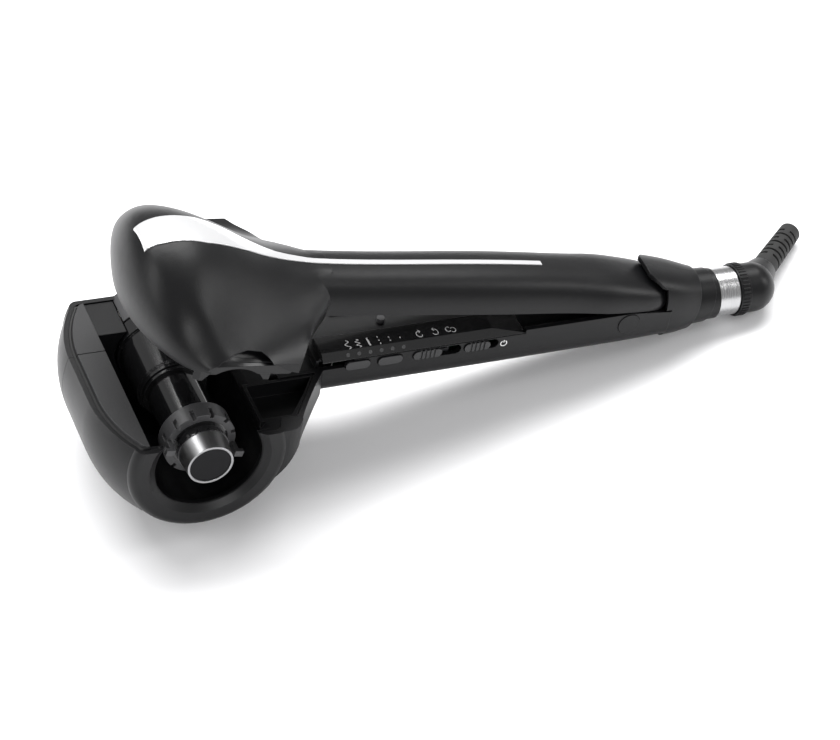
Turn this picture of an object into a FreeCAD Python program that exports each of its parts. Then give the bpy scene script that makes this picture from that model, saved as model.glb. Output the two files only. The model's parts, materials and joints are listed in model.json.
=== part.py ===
import FreeCAD, Part
import math
import os
from FreeCAD import Vector

# Automatic hair curler, in millimetres.
# The tool is drawn in its own frame: the jaw hinge's axis is Y through the origin, the handle
# runs along X with the head at -X and the cord end at +X, and -Y is the side with the controls.
# seat() then lays it on the table as it rests, on the belly of the head and the cord elbow.

# ---- driving dimensions --------------------------------------------------------------------
BARREL_X, BARREL_Z = -185.0, -10.9      # axis of the heated barrel, parallel to the hinge
HEAD_HALF = 44.0                        # half width of the head
BELLY_R = 39.6                          # largest radius of the drum-shaped head
WALL = 2.0                              # casing wall
MOUTH_R = 20.6                          # round mouth in the near end of the head
CHAMBER_R = 22.6                        # curl chamber
BOSS_R = 15.3                           # round boss over the rotor's far end
ROTOR_BAY_R = 24.8                      # wider bay in which the rotor turns
RIM_Z = 0.0                             # plane where the lower head is cut open
DECK_Z = -0.6                           # top of the inner deck
ARM_HALF = 14.5                         # half width of the handle
ARM_TOP = 5.0                           # top edge of the lower handle's walls
ARM_BOTTOM = -17.0
OPEN_ANGLE = 9.5                        # the jaws rest open by this much
SPINDLE_R = 6.0                         # fixed tube that carries the barrel
FIT = 0.05                              # radial clearance of a running fit
GEAR_MODULE = 0.8
TEETH_ROTOR, TEETH_IDLER, TEETH_PINION = 28, 18, 12
RING_R = 9.94                           # steel ring at the cord end
SWIVEL_Z = -3.6                         # axis of the cord swivel, along X
REST_TILT = 8.5                         # the handle slopes down to its cord end when laid down
JAW_COVER_TOP = 36.0                    # crown of the closed upper jaw above the hinge axis

parts = {}
Y_AXIS = Vector(0, 1, 0)


# ---- plain solids --------------------------------------------------------------------------
def box(x0, x1, y0, y1, z0, z1):
    return Part.makeBox(x1 - x0, y1 - y0, z1 - z0, Vector(x0, y0, z0))


def rod(start, direction, radius, length):
    return Part.makeCylinder(radius, length, Vector(*start), Vector(*direction))


def tube(start, direction, outer, inner, length):
    return rod(start, direction, outer, length).cut(rod(start, direction, inner, length))


def barrel_rod(radius, y0, y1):
    return rod((BARREL_X, y0, BARREL_Z), (0, 1, 0), radius, y1 - y0)


def barrel_tube(outer, inner, y0, y1):
    return barrel_rod(outer, y0, y1).cut(barrel_rod(inner, y0, y1))


def axle_x(radius, x0, x1):
    return rod((x0, 0, SWIVEL_Z), (1, 0, 0), radius, x1 - x0)


def wire(points, closed=True):
    vectors = [Vector(*p) for p in points]
    if closed:
        vectors.append(vectors[0])
    return Part.makePolygon(vectors)


def prism(points, plane, low, high):
    """A polygon given in two coordinates, extruded across its plane ('xy', 'xz' or 'yz')."""
    if plane == "xy":
        outline = [(a, b, low) for a, b in points]
        along = Vector(0, 0, high - low)
    elif plane == "xz":
        outline = [(a, low, b) for a, b in points]
        along = Vector(0, high - low, 0)
    else:
        outline = [(low, a, b) for a, b in points]
        along = Vector(high - low, 0, 0)
    return Part.Face(wire(outline)).extrude(along)


def fuse(*shapes):
    result = shapes[0]
    for shape in shapes[1:]:
        result = result.fuse(shape)
    return result


def group(*shapes):
    return Part.makeCompound(list(shapes))


def pill(x, z, length, height, y0, y1):
    """A long round-ended bar seen from the side, running from y0 to y1."""
    half = (length - height) / 2
    bar = box(x - half, x + half, y0, y1, z - height / 2, z + height / 2)
    for end in (-half, half):
        bar = bar.fuse(rod((x + end, y0, z), (0, 1, 0), height / 2, y1 - y0))
    return bar.removeSplitter()


# ---- the drum-shaped lower head ------------------------------------------------------------
CROWN_FLAT = 12.0       # the drum is cylindrical this far from its middle
CROWN_ARC_R = 53.0      # and falls away along this arc


def drum_radius(y):
    out = max(0.0, abs(y) - CROWN_FLAT)
    return BELLY_R - CROWN_ARC_R + math.sqrt(CROWN_ARC_R ** 2 - out ** 2)


def drum(inset):
    """The head's solid of revolution, shrunk by inset all round."""
    shoulder = 40.5 - 0.6 * inset
    end = HEAD_HALF - inset
    middle = (CROWN_FLAT + shoulder) / 2
    r0, r1, r2 = (drum_radius(y) - inset for y in (CROWN_FLAT, middle, shoulder))
    face_r = r2 - 3.8

    def at(y, r):
        return Vector(BARREL_X, y, BARREL_Z + r)

    def arc(a, b, c):
        return Part.Arc(at(*a), at(*b), at(*c)).toShape()

    round_y = shoulder + 0.78 * (end - shoulder)
    round_r = face_r + 0.68 * (r2 - face_r)
    edges = [
        Part.makeLine(at(-end, 0), at(-end, face_r)),
        arc((-end, face_r), (-round_y, round_r), (-shoulder, r2)),
        arc((-shoulder, r2), (-middle, r1), (-CROWN_FLAT, r0)),
        Part.makeLine(at(-CROWN_FLAT, r0), at(CROWN_FLAT, r0)),
        arc((CROWN_FLAT, r0), (middle, r1), (shoulder, r2)),
        arc((shoulder, r2), (round_y, round_r), (end, face_r)),
        Part.makeLine(at(end, face_r), at(end, 0)),
        Part.makeLine(at(end, 0), at(-end, 0)),
    ]
    face = Part.Face(Part.Wire(edges))
    return face.revolve(Vector(BARREL_X, 0, BARREL_Z), Y_AXIS, 360)


# stations of the lower handle: x, half width, bottom
ARM_STATIONS = [
    (-168.0, ARM_HALF, ARM_BOTTOM),
    (-118.0, ARM_HALF, ARM_BOTTOM),
    (-55.0, ARM_HALF, -16.6),
    (0.0, ARM_HALF, -15.6),
    (19.2, 13.6, -15.8),
]


def arm(inset, top, first=0):
    """The lower handle: upright sides above a rounded bottom, lofted along its stations."""
    sections = []
    for x, half, bottom in ARM_STATIONS[first:]:
        w = half - inset
        low = bottom + inset
        side_z = -5.0
        depth = side_z - low
        slant = math.radians(50)
        near = Vector(x, -w * math.sin(slant), side_z - depth * math.cos(slant))
        far = Vector(x, w * math.sin(slant), near.z)
        bowl = Part.BSplineCurve()
        bowl.interpolate(
            Points=[Vector(x, -w, side_z), near, Vector(x, 0, low), far, Vector(x, w, side_z)],
            InitialTangent=Vector(0, 0, -1),
            FinalTangent=Vector(0, 0, 1),
        )
        edges = [
            Part.makeLine(Vector(x, -w, top), Vector(x, -w, side_z)),
            bowl.toShape(),
            Part.makeLine(Vector(x, w, side_z), Vector(x, w, top)),
            Part.makeLine(Vector(x, w, top), Vector(x, -w, top)),
        ]
        sections.append(Part.Wire(edges))
    return Part.makeLoft(sections, True, True)


WEB_LOW = -34.0
WEB_SLOPE = (18.0, 25.2)                # the web runs back and inwards in this proportion
WEB_R = 25.5
WEB_AXIS = (-178.3, 39.0, -6.5)


def gusset(side):
    """The web that joins the back of the drum to the handle on one side."""
    def at(x, y):
        return Vector(x, side * y, WEB_LOW)

    edges = [
        Part.Arc(at(-130, 13.8), at(-138.6, 24.5), at(-147.4, 37.5)).toShape(),
        Part.Arc(at(-147.4, 37.5), at(-149.6, 41.6), at(-154.0, 43.5)).toShape(),
        Part.makeLine(at(-154.0, 43.5), at(-160, 43.5)),
        Part.makeLine(at(-160, 43.5), at(-164, 13.8)),
        Part.makeLine(at(-164, 13.8), at(-130, 13.8)),
    ]
    web = Part.Face(Part.Wire(edges)).extrude(Vector(0, 0, RIM_Z - WEB_LOW))
    run, across = WEB_SLOPE
    axis_x, axis_y, axis_z = WEB_AXIS
    start = (axis_x - run, side * (axis_y + across), axis_z)
    return web.common(rod(start, (run, -side * across, 0), WEB_R, 100))


mouth_flare = Part.makeCone(
    MOUTH_R + 3.4, MOUTH_R, 2.4, Vector(BARREL_X, -HEAD_HALF - 0.01, BARREL_Z), Y_AXIS
)
above_rim = box(-240, -134, -50, 50, RIM_Z, 60)
head_solid = fuse(drum(0).cut(above_rim), gusset(-1), gusset(1))
hollow = fuse(drum(WALL), box(-160, -140, -12.5, 12.5, -14.5, RIM_Z + 1))
arm_outer = arm(0, ARM_TOP, 1)
neck = arm(0, RIM_Z, 0).common(box(-168, -117.9, -20, 20, -30, RIM_Z))
casing = fuse(head_solid, neck, arm_outer)
casing = casing.cut(hollow).cut(arm(WALL, ARM_TOP + 1, 0))
casing = casing.cut(barrel_rod(MOUTH_R, -50, -40)).cut(mouth_flare)
# the walls fall away towards the hinge so that the upper jaw's tail can tip down past them
casing = casing.cut(prism([(0, 5.1), (19.3, 2.0), (19.3, 8), (0, 8)], "xz", -20, 20))

FASCIA_X0, FASCIA_X1 = -131.0, -46.0
casing = casing.cut(box(FASCIA_X0 - 0.2, FASCIA_X1 + 0.2, -20, -12.3, 3.2, 8))

# openings in the near wall for the two keys and the two slide switches
CONTROL_Z = 0.6
KEY_X = (-116.6, -103.1)
KEY_LENGTH, KEY_HEIGHT = 10.6, 4.4
DIRECTION_X, DIRECTION_LENGTH = -83.4, 20.6
POWER_X, POWER_LENGTH = -64.6, 15.0
for key_x in KEY_X:
    casing = casing.cut(pill(key_x, CONTROL_Z, KEY_LENGTH, KEY_HEIGHT, -16, -12))
for slot_x, slot_length in ((DIRECTION_X, DIRECTION_LENGTH), (POWER_X, POWER_LENGTH)):
    casing = casing.cut(pill(slot_x, CONTROL_Z, slot_length, KEY_HEIGHT, -16, -12))

# a pocket beside the mouth takes the deck's tray
TRAY_LOW = -8.4


def tray_outline(inset):
    """Plan of the tray between the mouth and the handle, shrunk by inset."""
    return [(-164.0 + inset, -36.2 + inset), (-149.2 - inset, -36.2 + inset),
            (-140.8 - inset, -24.5), (-134.0 - 1.6 * inset, -14.6 - inset), (-164.0 + inset, -14.6 - inset)]


casing = casing.cut(prism(tray_outline(0), "xy", TRAY_LOW - 0.3, 1))

# air slots in the belly of the neck, and the screw wells under the handle
for i in range(4):
    casing = casing.cut(box(-140.5 + 4.5 * i, -138.5 + 4.5 * i, -7, 7, -19, -13))
SCREW_X = (-108.0, -72.0, -36.0, 12.0)
SCREW_SEAT = -14.4
for screw_x in SCREW_X:
    casing = casing.fuse(rod((screw_x, 0, -15.5), (0, 0, 1), 4.2, 6.5))
    casing = casing.cut(rod((screw_x, 0, -20), (0, 0, 1), 2.9, SCREW_SEAT + 20))
    casing = casing.cut(rod((screw_x, 0, -20), (0, 0, 1), 1.5, 14))

PIN_R = 1.5
CAP_R, CAP_DEPTH = 4.8, 1.4
hinge_bore = rod((0, -20, 0), (0, 1, 0), PIN_R, 40)
EAR = 2.4
for ear_y in (-ARM_HALF, ARM_HALF - EAR):
    casing = casing.fuse(rod((0, ear_y, 0), (0, 1, 0), 5.1, EAR))
casing = casing.cut(hinge_bore)
for side in (-1, 1):
    seat_start = -ARM_HALF - 0.1 if side < 0 else ARM_HALF - CAP_DEPTH
    casing = casing.cut(rod((0, seat_start, 0), (0, 1, 0), CAP_R, CAP_DEPTH + 0.1))

# the far third of the drum is a moulding of its own, with a joint line round the head
SEAM_Y = 13.0
far_zone = box(-240, -152.6, SEAM_Y, 50, -60, 20)
parts["far_head_shell"] = casing.common(far_zone)
parts["lower_shell"] = casing.cut(box(-240, -152.45, SEAM_Y - 0.15, 50, -60, 20))

# ---- inner deck with the curl chamber ------------------------------------------------------
deck_skin = drum(WALL + 0.25).common(box(-240, -152.9, -50, 50, -3.2, DECK_Z))
chamber = barrel_tube(CHAMBER_R + 3.2, CHAMBER_R, -39.9, 25.2).cut(box(-240, -130, -50, 50, DECK_Z, 40))
bay = barrel_rod(ROTOR_BAY_R, -2.0, 23.6)
lead_in = prism(
    [(BARREL_X + s * w, z) for s, w, z in
     ((-1, 23.7, 1), (-1, 23.7, DECK_Z), (-1, 20.9, -5.6), (1, 20.9, -5.6), (1, 23.7, DECK_Z), (1, 23.7, 1))],
    "xz", -39.9, 23.6)
far_wall = barrel_rod(CHAMBER_R + 3.2, 23.6, 25.2).cut(box(-240, -130, -50, 50, DECK_Z, 40))
tray = prism(tray_outline(0.25), "xy", TRAY_LOW, DECK_Z).cut(barrel_rod(CHAMBER_R, -50, 0))
tray_space = prism(tray_outline(1.5), "xy", TRAY_LOW + 1.2, 5).cut(barrel_rod(CHAMBER_R + 1.2, -50, 0))
deck = fuse(deck_skin.cut(barrel_rod(CHAMBER_R, -50, 24)), chamber, far_wall)
deck = deck.cut(barrel_rod(CHAMBER_R, -39.9, -2)).cut(bay).cut(lead_in).cut(tray_space)
deck = deck.cut(barrel_rod(BOSS_R + 0.3, 20, 60)).cut(barrel_rod(MOUTH_R, -50, -39))
parts["chamber_deck"] = deck.common(drum(WALL + 0.25)).fuse(tray).cut(tray_space)
mouth_ring = barrel_tube(MOUTH_R + 2.4, MOUTH_R + 0.4, -41.9, -40.1)
parts["mouth_ring"] = mouth_ring.cut(box(-240, -130, -50, 50, DECK_Z, 40)).cut(parts["chamber_deck"])

# soft pads on the front rim, in two lengths, with a seal in the groove outside them
PAD_IN_X = -208.8
pad_zone = box(-240, PAD_IN_X, -41.5, 41.5, DECK_Z, 1.0)
pad = drum(3.0).common(pad_zone)
parts["front_pad_near"] = pad.common(box(-240, -200, -50, SEAM_Y - 0.2, -5, 5))
parts["front_pad_far"] = pad.common(box(-240, -200, SEAM_Y + 0.2, 50, -5, 5))
parts["rim_seal"] = drum(2.1).cut(drum(2.9)).common(box(-240, PAD_IN_X, -41, 41, DECK_Z, -0.1))

# ---- barrel, from the far wall to its free end ---------------------------------------------
boss = fuse(barrel_tube(BOSS_R, 12.6, 29.4, 42.6), barrel_rod(BOSS_R, 42.6, 43.8))
boss = boss.common(box(-240, -130, 0, 50, DECK_Z, 40))
parts["gear_cover"] = boss.cut(parts["far_head_shell"])
spindle = barrel_tube(SPINDLE_R, 4.6, -30, 41.9)
parts["spindle_tube"] = spindle.fuse(barrel_tube(10.0, 4.6, 41.0, 41.9)).cut(
    box(-240, -130, 40, 50, DECK_Z + 6, 40))

rotor = fuse(barrel_rod(13.2, -1.2, 0.6), barrel_rod(14.0, 0.9, 22.0), barrel_rod(13.6, 0.4, 1.1),
             barrel_rod(15.0, 22.0, 28.6), barrel_rod(8.4, 28.6, 40.8))
parts["rotor_sleeve"] = rotor.cut(barrel_rod(7.5, -2, 42))
parts["rotor_bushes"] = group(*[barrel_tube(7.5, SPINDLE_R + FIT, y, y + 6) for y in (-1.0, 34.5)])

FLYER_ANGLE = -58.0     # the winding hook parks at the bottom of the chamber, towards the handle
flyer = fuse(
    box(13.9, 21.6, 8.0, 13.0, -3.4, 3.4),
    box(18.8, 21.6, -16.0, 13.0, -2.6, 2.6),
    box(16.6, 21.6, -17.2, -15.0, -2.6, 2.6),
)
flyer = flyer.common(rod((0, -40, 0), (0, 1, 0), 21.4, 60)).cut(rod((0, -40, 0), (0, 1, 0), 14.0, 60))


def about_barrel(shape, angle):
    turned = shape.copy()
    turned.rotate(Vector(0, 0, 0), Y_AXIS, -angle)
    turned.translate(Vector(BARREL_X, 0, BARREL_Z))
    return turned


parts["winding_hook"] = about_barrel(flyer, FLYER_ANGLE)

parts["barrel_tube"] = barrel_tube(11.0, 9.9, -31.6, -2.8)
parts["barrel_collar"] = fuse(
    barrel_tube(12.6, SPINDLE_R, -2.8, -1.6),
    barrel_tube(9.9, SPINDLE_R, -4.6, -2.8),
)
spreader = barrel_tube(9.85, SPINDLE_R, -29.5, -4.9)
pockets = group(*[box(BARREL_X - 2.2, BARREL_X + 2.2, -27, -7, BARREL_Z + a, BARREL_Z + b)
                  for a, b in ((6.8, 8.8), (-8.8, -6.8))])
parts["heat_spreader"] = spreader.cut(pockets)
parts["heater_elements"] = group(*[
    box(BARREL_X - 2.1, BARREL_X + 2.1, -26.8, -7.2, BARREL_Z + a, BARREL_Z + b)
    for a, b in ((6.9, 8.7), (-8.7, -6.9))])
parts["thermal_fuse"] = barrel_rod(1.8, -24, -11)

GUARD_R = 14.0
GUARD_NOTCHES = 12
guard = barrel_tube(GUARD_R, 11.0, -31.6, -24.4)
for i in range(GUARD_NOTCHES):
    notch = box(12.4, 15, -32, -27.4, -0.8, 0.8)
    guard = guard.cut(about_barrel(notch, 360.0 * i / GUARD_NOTCHES + 15))
for angle in (0, 180):
    claw = fuse(box(12.3, 14.0, -37.0, -31.0, -1.3, 1.3), box(12.3, 15.8, -37.6, -36.0, -1.3, 1.3))
    guard = guard.fuse(about_barrel(claw, angle - 12))
parts["hair_guard_ring"] = guard
neck_plug = fuse(barrel_rod(10.0, -35.6, -31.6), barrel_rod(4.6, -31.7, -25.5))
parts["barrel_neck"] = neck_plug.cut(barrel_rod(1.5, -36, -30.5))
end_cap = Part.makeCone(8.9, 9.7, 8.4, Vector(BARREL_X, -HEAD_HALF, BARREL_Z), Y_AXIS)
parts["barrel_end_cap"] = end_cap.cut(barrel_rod(8.1, -45, -42.9)).cut(barrel_rod(7.4, -42.9, -37.2))
parts["barrel_end_disc"] = barrel_rod(8.05, -43.7, -42.9)
parts["barrel_end_screw"] = fuse(barrel_rod(3.0, -42.8, -40.6), barrel_rod(1.5, -40.7, -30.5))
parts["barrel_end_cap"] = parts["barrel_end_cap"].cut(barrel_rod(1.5, -38, -30))


# ---- gear train in the far end of the drum -------------------------------------------------
def gear_outline(teeth, phase):
    """Points of a 25 degree involute gear, thinned a little for backlash."""
    pitch_r = GEAR_MODULE * teeth / 2
    pressure = math.radians(25)
    base_r = pitch_r * math.cos(pressure)
    tip_r = pitch_r + 0.8 * GEAR_MODULE
    root_r = pitch_r - 1.1 * GEAR_MODULE
    half_tooth = math.pi / (2 * teeth) - 0.06 / pitch_r

    def involute(radius):
        a = math.acos(min(1.0, base_r / radius))
        return math.tan(a) - a

    flank = [max(base_r, root_r) + (tip_r - max(base_r, root_r)) * k / 4 for k in range(5)]
    points = []
    for i in range(teeth):
        centre = phase + 2 * math.pi * i / teeth
        left = []
        for radius in flank:
            half = half_tooth + involute(pitch_r) - involute(radius)
            left.append((radius, half))
        if root_r < base_r:
            left.insert(0, (root_r, left[0][1]))
        for radius, half in left:
            points.append((radius * math.cos(centre - half), radius * math.sin(centre - half)))
        for radius, half in reversed(left):
            points.append((radius * math.cos(centre + half), radius * math.sin(centre + half)))
    return points


def gear(teeth, phase, x, z, y0, y1, bore):
    outline = [(x + a, z + b) for a, b in gear_outline(teeth, phase)]
    blank = prism(outline, "xz", y0, y1)
    return blank.cut(rod((x, y0, z), (0, 1, 0), bore, y1 - y0))


def polar(x, z, distance, angle):
    return x + distance * math.cos(angle), z + distance * math.sin(angle)


GEAR_Y0, GEAR_Y1 = 36.5, 40.5
IDLER_ANGLE = math.radians(-60.0)
MOTOR_DISTANCE = 22.9
centre_rotor_idler = GEAR_MODULE * (TEETH_ROTOR + TEETH_IDLER) / 2
centre_idler_pinion = GEAR_MODULE * (TEETH_IDLER + TEETH_PINION) / 2
swing = math.acos((centre_rotor_idler ** 2 + MOTOR_DISTANCE ** 2 - centre_idler_pinion ** 2)
                  / (2 * centre_rotor_idler * MOTOR_DISTANCE))
MOTOR_ANGLE = IDLER_ANGLE - swing
idler_x, idler_z = polar(BARREL_X, BARREL_Z, centre_rotor_idler, IDLER_ANGLE)
motor_x, motor_z = polar(BARREL_X, BARREL_Z, MOTOR_DISTANCE, MOTOR_ANGLE)
to_pinion = math.atan2(motor_z - idler_z, motor_x - idler_x)

# a tooth of the rotor's gear meets a gap of the idler, whose phase then sets the pinion's
idler_phase = IDLER_ANGLE + math.pi + math.pi / TEETH_IDLER
tooth_turn = (to_pinion - idler_phase) / (2 * math.pi / TEETH_IDLER)
off_tooth = (tooth_turn - round(tooth_turn)) * (2 * math.pi / TEETH_IDLER)
pinion_phase = to_pinion + math.pi + math.pi / TEETH_PINION + off_tooth * TEETH_IDLER / TEETH_PINION

AXLE_R = 1.25
parts["rotor_gear"] = gear(TEETH_ROTOR, IDLER_ANGLE, BARREL_X, BARREL_Z, GEAR_Y0, GEAR_Y1, 8.4)
parts["idler_gear"] = gear(TEETH_IDLER, idler_phase, idler_x, idler_z, GEAR_Y0, GEAR_Y1, AXLE_R + FIT)
idler_axle = rod((idler_x, 34.9, idler_z), (0, 1, 0), AXLE_R, 6.6)
SHAFT_R = 1.0
pinion = gear(TEETH_PINION, pinion_phase, motor_x, motor_z, GEAR_Y0, GEAR_Y1, SHAFT_R / 2)
parts["motor_pinion"] = pinion.fuse(rod((motor_x, 29.0, motor_z), (0, 1, 0), SHAFT_R, 12.0))
MOTOR_R = 7.5
motor = fuse(rod((motor_x, 26.0, motor_z), (0, 1, 0), MOTOR_R, 8.4),
             rod((motor_x, 34.4, motor_z), (0, 1, 0), 2.6, 1.8))
parts["drive_motor"] = motor.cut(rod((motor_x, 28.7, motor_z), (0, 1, 0), SHAFT_R + FIT, 12))
plate = barrel_rod(28.6, 34.9, 36.1).cut(box(-240, -130, 30, 40, -14, 40)).cut(barrel_rod(9.0, 30, 40))
plate = plate.cut(rod((motor_x, 34, motor_z), (0, 1, 0), 2.6, 3))
plate = plate.fuse(idler_axle)
screw_places = [polar(motor_x, motor_z, 5.4, math.radians(a)) for a in (0, 180)]
for x, z in screw_places:
    plate = plate.cut(rod((x, 34, z), (0, 1, 0), 0.8, 3))
parts["gear_plate"] = plate.common(drum(WALL + 0.2))
motor_screws = []
for x, z in screw_places:
    parts["drive_motor"] = parts["drive_motor"].cut(rod((x, 31.4, z), (0, 1, 0), 0.8, 4))
    motor_screws.append(fuse(rod((x, 31.5, z), (0, 1, 0), 0.8, 4.6), rod((x, 36.1, z), (0, 1, 0), 1.5, 0.3)))
parts["motor_screws"] = group(*motor_screws)

# ---- handle: deck, fascia, controls --------------------------------------------------------
DECK_TOP, DECK_LOW = 2.9, 1.4
BOARD_Y0, BOARD_Y1 = -8.6, -7.4
arm_deck = fuse(
    box(-133.0, -12.0, -11.4, 12.3, DECK_LOW + 0.3, DECK_TOP),
    box(-133.0, -131.8, -12.0, 12.0, DECK_Z - 1.2, DECK_TOP),
    box(-152.4, -131.8, -12.0, 12.0, DECK_Z - 1.2, DECK_Z),
)
PLUNGER_X, PLUNGER_Y, PLUNGER_R = -99.8, 5.0, 1.6
parts["arm_deck"] = arm_deck.cut(rod((PLUNGER_X, PLUNGER_Y, 0), (0, 0, 1), PLUNGER_R + FIT, 5))
fascia = prism([(-14.2, 3.4), (-11.5, 6.1), (-2.6, 6.1), (-1.6, 5.1), (-1.6, 2.9), (-14.2, 2.9)],
               "yz", FASCIA_X0, FASCIA_X1)
fascia = fascia.cut(box(-140, -40, -15, -12.3, 2.8, 3.2))
fascia = fascia.cut(prism([(-60, 6.2), (FASCIA_X1, 3.5), (FASCIA_X1 + 1, 7), (-60, 7)], "xz", -20, 5))
LED_X0, LED_STEP, LED_COUNT = -120.4, 4.62, 6
leds = []
for i in range(LED_COUNT):
    led_x = LED_X0 + LED_STEP * i
    lens = rod((led_x, -12.95, 4.55), (0, 1, -1), 0.75, 1.1)
    fascia = fascia.cut(rod((led_x, -14.4, 6.0), (0, 1, -1), 0.75, 3.7))
    leds.append(lens)
parts["control_fascia"] = fascia
parts["led_lenses"] = group(*leds)

KEY_TRAVEL = 0.8
STEM_END = -12.2
for name, key_x in zip(("time_key", "heat_key"), KEY_X):
    cap = pill(key_x, CONTROL_Z, KEY_LENGTH - 0.5, KEY_HEIGHT - 0.5, -15.2, -13.6)
    stem = box(key_x - 1.6, key_x + 1.6, -13.7, STEM_END, CONTROL_Z - 1.2, CONTROL_Z + 0.8)
    parts[name] = fuse(cap, stem)
parts["key_switches"] = group(*[
    box(x - 2.2, x + 2.2, STEM_END + KEY_TRAVEL + 0.1, BOARD_Y0, CONTROL_Z - 2.2, CONTROL_Z + 0.6)
    for x in KEY_X])


def slide_knob(x, length):
    """A ribbed slide knob with a stem through its slot."""
    knob = pill(x, CONTROL_Z, length, KEY_HEIGHT - 0.5, -15.1, -13.3)
    for i in range(4):
        knob = knob.cut(box(x - 3.1 + 1.8 * i, x - 2.3 + 1.8 * i, -15.2, -14.6, CONTROL_Z - 3, CONTROL_Z + 3))
    return knob.fuse(box(x - 1.0, x + 1.0, -13.4, -10.4, CONTROL_Z - 0.8, CONTROL_Z + 0.2))


DIRECTION_TRAVEL, POWER_TRAVEL = 8.0, 3.4
direction_start = DIRECTION_X - DIRECTION_TRAVEL / 2
power_start = POWER_X - POWER_TRAVEL / 2
parts["direction_slider"] = slide_knob(direction_start, DIRECTION_LENGTH - DIRECTION_TRAVEL - 0.6)
parts["power_slider"] = slide_knob(power_start, POWER_LENGTH - POWER_TRAVEL - 0.6)
for name, x, travel in (("direction_switch", DIRECTION_X, DIRECTION_TRAVEL),
                        ("power_switch", POWER_X, POWER_TRAVEL)):
    half = travel / 2 + 2.2
    body = box(x - half, x + half, -12.0, BOARD_Y0, CONTROL_Z - 3.4, CONTROL_Z + 0.8)
    channel = box(x - travel / 2 - 1.3, x + travel / 2 + 1.3, -13, -10.0, CONTROL_Z - 1.1, CONTROL_Z + 0.5)
    parts[name] = body.cut(channel)
parts["control_board"] = box(-124.0, -56.0, BOARD_Y0, BOARD_Y1, -8.5, DECK_LOW - 0.2)
parts["power_board"] = box(-52.0, -14.0, -9.0, 9.0, -7.6, -6.0)
parts["board_parts"] = group(rod((-44, -3, -2.4), (1, 0, 0), 3.6, 14), box(-28, -18, -6, 4, -6.0, -0.6))

PLUNGER_TRAVEL = 1.0
PLUNGER_LOW = 0.4
switch_body = box(PLUNGER_X - 6.5, PLUNGER_X + 6.5, 2.0, 8.0, -6.5, DECK_LOW + 0.2)
switch_well = PLUNGER_LOW - PLUNGER_TRAVEL - 0.4
parts["closing_switch"] = switch_body.cut(
    rod((PLUNGER_X, PLUNGER_Y, switch_well), (0, 0, 1), PLUNGER_R + FIT, 3))
parts["switch_plunger"] = rod((PLUNGER_X, PLUNGER_Y, PLUNGER_LOW), (0, 0, 1), PLUNGER_R, 4.4)
parts["casing_screws"] = group(*[
    fuse(rod((x, 0, SCREW_SEAT - 1.1), (0, 0, 1), 2.7, 1.1), rod((x, 0, SCREW_SEAT), (0, 0, 1), 1.5, 4.5))
    for x in SCREW_X])

# ---- hinge ---------------------------------------------------------------------------------
parts["hinge_pin"] = rod((0, -12.9, 0), (0, 1, 0), PIN_R, 25.8)
parts["hinge_cap_near"] = rod((0, -ARM_HALF - 0.3, 0), (0, 1, 0), CAP_R - 0.15, CAP_DEPTH + 0.2)
parts["hinge_cap_far"] = rod((0, ARM_HALF - CAP_DEPTH + 0.1, 0), (0, 1, 0), CAP_R - 0.15, CAP_DEPTH + 0.2)
SPRING_R, SPRING_WIRE, SPRING_TURNS = 4.2, 0.5, 5
helix = Part.makeHelix(1.4, 1.4 * SPRING_TURNS, SPRING_R)
ring = Part.Wire(Part.makeCircle(SPRING_WIRE, Vector(SPRING_R, 0, 0), Vector(0, 1, 0)))
coil = Part.Wire(helix.Edges).makePipeShell([ring], True, True)
coil.rotate(Vector(0, 0, 0), Vector(1, 0, 0), -90)
coil.translate(Vector(0, -3.5, 0))
parts["opening_spring"] = coil

# ---- upper jaw, drawn closed ---------------------------------------------------------------
FRONT_ARC_R = 64.0      # the jaw's front edge seen from above
FRONT_X = -213.6
COVER_HALF = 43.0
EDGE_Z = 1.6            # lower edge of the closed jaw at the front
CROWN_LINE = [(-215, 30.5), (-208, 34.8), (-198, JAW_COVER_TOP), (-188, 35.0), (-177, 31.0), (-167, 26.6),
              (-156, 22.8), (-142, 20.2), (-130, 19.6), (-120, 19.5)]


def along_line(points, value):
    """The second coordinate of a broken line at a value of its first."""
    for (a0, b0), (a1, b1) in zip(points, points[1:]):
        if a0 <= value <= a1:
            return b0 + (b1 - b0) * (value - a0) / (a1 - a0)
    return points[0][1] if value < points[0][0] else points[-1][1]


def cover_height(x, y):
    """The jaw is a dome at the front that narrows to a hump between skirts at the back."""
    blend = min(1.0, max(0.0, (x + 195) / 45))
    power = 0.88 + 2.1 * blend
    skirt = 5.5 + 1.5 * blend
    return skirt + (along_line(CROWN_LINE, x) - skirt) * max(0.0, 1 - (y / 43.5) ** 2) ** power


def cover_front(y):
    corner = max(0.0, abs(y) - 34)
    return FRONT_X + FRONT_ARC_R - math.sqrt(FRONT_ARC_R ** 2 - y ** 2) + 0.045 * corner ** 2


# back edge of the skirts: x against the distance from the middle
BACK_LINE = [(0, -134.0), (12, -134.5), (17, -138.5), (22, -143.0), (30, -149.5), (36, -153.0),
             (40, -155.5), (43, -157.5)]


BACK_ROUND = 12.0       # the skirts' back edges turn down over this length
BACK_LOW = 8.2          # to this height


def turned_down(height, to_edge, y):
    """A height of the jaw, rounded off near the back edge of a skirt."""
    sideways = min(1.0, max(0.0, (abs(y) - 11) / 5))
    near = min(1.0, max(0.0, 1 - to_edge / BACK_ROUND))
    drop = (height - BACK_LOW) * (1 - math.sqrt(1 - near ** 2))
    return height - sideways * max(0.0, drop)


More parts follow.
